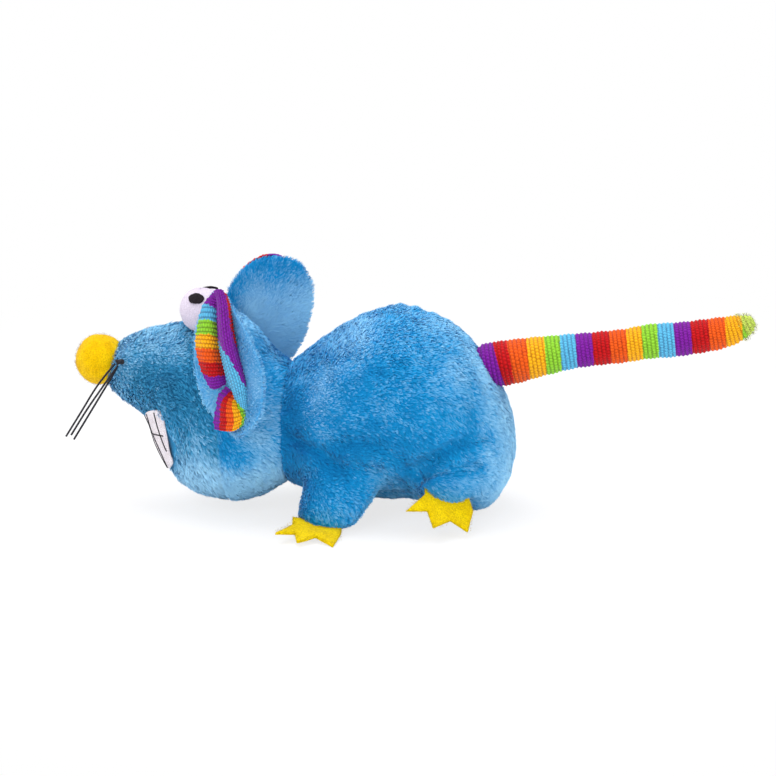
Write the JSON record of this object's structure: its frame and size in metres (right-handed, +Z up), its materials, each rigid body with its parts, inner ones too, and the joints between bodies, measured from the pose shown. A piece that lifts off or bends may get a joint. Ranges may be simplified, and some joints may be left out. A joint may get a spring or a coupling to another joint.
{
  "type": "plush mouse cat toy",
  "caption": "Stuffed plush mouse for cats, with knit-lined ears, stuffed striped knit tail, felt feet, ball eyes, pompom nose and thread whiskers.",
  "frame": {"origin": "bottom centre of the toy's box without its whisker threads, on the floor it stands on", "axes": "+X from nose to tail, +Z up, the toy's left side at -Y"},
  "size_m": [0.2373, 0.0902, 0.0865],
  "materials": {
    "plush_blue": "matte short-pile plush",
    "plush_face": "matte plush with a longer nap",
    "knit_rainbow": "matte ribbed knit in rainbow stripes",
    "knit_purple": "matte ribbed knit, gathered",
    "felt_yellow": "matte felt",
    "pompom_wool": "matte felted wool",
    "knit_white": "matte fine knit",
    "pupil_felt": "matte felt",
    "panel_white": "matte woven cloth",
    "waxed_thread": "satin waxed thread",
    "fibre_filling": "loose polyester fibre",
    "sachet_cloth": "matte thin cloth"
  },
  "bodies": {
    "body": {"left_side_cover": "plush_blue", "right_side_cover": "plush_blue", "belly_gusset": "plush_blue", "body_filling": "fibre_filling", "catnip_sachet": "sachet_cloth", "left_front_leg": "plush_blue", "right_front_leg": "plush_blue", "left_rear_leg": "plush_blue", "right_rear_leg": "plush_blue"},
    "head": {"face_cover": "plush_face", "head_back_cover": "plush_blue", "head_filling": "fibre_filling", "teeth_panel": "panel_white", "nose_pompom": "pompom_wool", "left_eye": "knit_white", "left_pupil": "pupil_felt", "right_eye": "knit_white", "right_pupil": "pupil_felt", "left_whisker_knot": "waxed_thread", "right_whisker_knot": "waxed_thread", "left_whisker_1": "waxed_thread", "left_whisker_2": "waxed_thread", "left_whisker_3": "waxed_thread", "right_whisker_1": "waxed_thread", "right_whisker_2": "waxed_thread", "right_whisker_3": "waxed_thread"},
    "left_ear": {"left_ear_back": "plush_blue", "left_ear_front": "knit_rainbow"},
    "right_ear": {"right_ear_back": "plush_blue", "right_ear_front": "knit_rainbow"},
    "tail_root": {"tail_root": "knit_purple"},
    "tail": {"tail_sleeve": "knit_rainbow", "tail_filling": "fibre_filling"},
    "left_front_foot": {"left_front_foot": "felt_yellow"},
    "right_front_foot": {"right_front_foot": "felt_yellow"},
    "left_rear_foot": {"left_rear_foot": "felt_yellow"},
    "right_rear_foot": {"right_rear_foot": "felt_yellow"}
  },
  "joints": [
    {"name": "neck_nod", "type": "hinge", "parent": "body", "child": "head", "pos_m": [-0.0432, 0, 0.0321], "axis": [0.1736, 0.9848, 0], "range_deg": [-5, 5], "stiffness_Nm_per_rad": 2},
    {"name": "left_ear_flop", "type": "hinge", "parent": "head", "child": "left_ear", "pos_m": [-0.06882, -0.02261, 0.05177], "axis": [0, 0, 1], "range_deg": [-8, 25], "stiffness_Nm_per_rad": 0.02},
    {"name": "right_ear_flop", "type": "hinge", "parent": "head", "child": "right_ear", "pos_m": [-0.05954, 0.03001, 0.05177], "axis": [0, 0, -1], "range_deg": [-4, 25], "stiffness_Nm_per_rad": 0.02},
    {"name": "tail_swing", "type": "hinge", "parent": "body", "child": "tail_root", "pos_m": [0.03, 0, 0.0526], "axis": [0, 0, 1], "range_deg": [-30, 30], "stiffness_Nm_per_rad": 0.15},
    {"name": "tail_lift", "type": "hinge", "parent": "tail_root", "child": "tail", "pos_m": [0.03, 0, 0.0526], "axis": [0, -1, 0], "range_deg": [-10, 35], "stiffness_Nm_per_rad": 0.15},
    {"name": "left_front_foot_flex", "type": "hinge", "parent": "body", "child": "left_front_foot", "pos_m": [-0.0335, -0.032, 0.00315], "axis": [-0.9877, -0.0272, 0.1541], "range_deg": [0, 20], "stiffness_Nm_per_rad": 0.002},
    {"name": "right_front_foot_flex", "type": "hinge", "parent": "body", "child": "right_front_foot", "pos_m": [-0.0335, 0.032, 0.00315], "axis": [0.9877, -0.0272, -0.1541], "range_deg": [0, 20], "stiffness_Nm_per_rad": 0.002},
    {"name": "left_rear_foot_flex", "type": "hinge", "parent": "body", "child": "left_rear_foot", "pos_m": [0.0108, -0.0285, 0.0119], "axis": [-0.866, -0.3346, 0.3716], "range_deg": [-15, 20], "stiffness_Nm_per_rad": 0.002},
    {"name": "right_rear_foot_flex", "type": "hinge", "parent": "body", "child": "right_rear_foot", "pos_m": [0.0108, 0.0285, 0.0119], "axis": [0.866, -0.3346, -0.3716], "range_deg": [-15, 20], "stiffness_Nm_per_rad": 0.002}
  ]
}
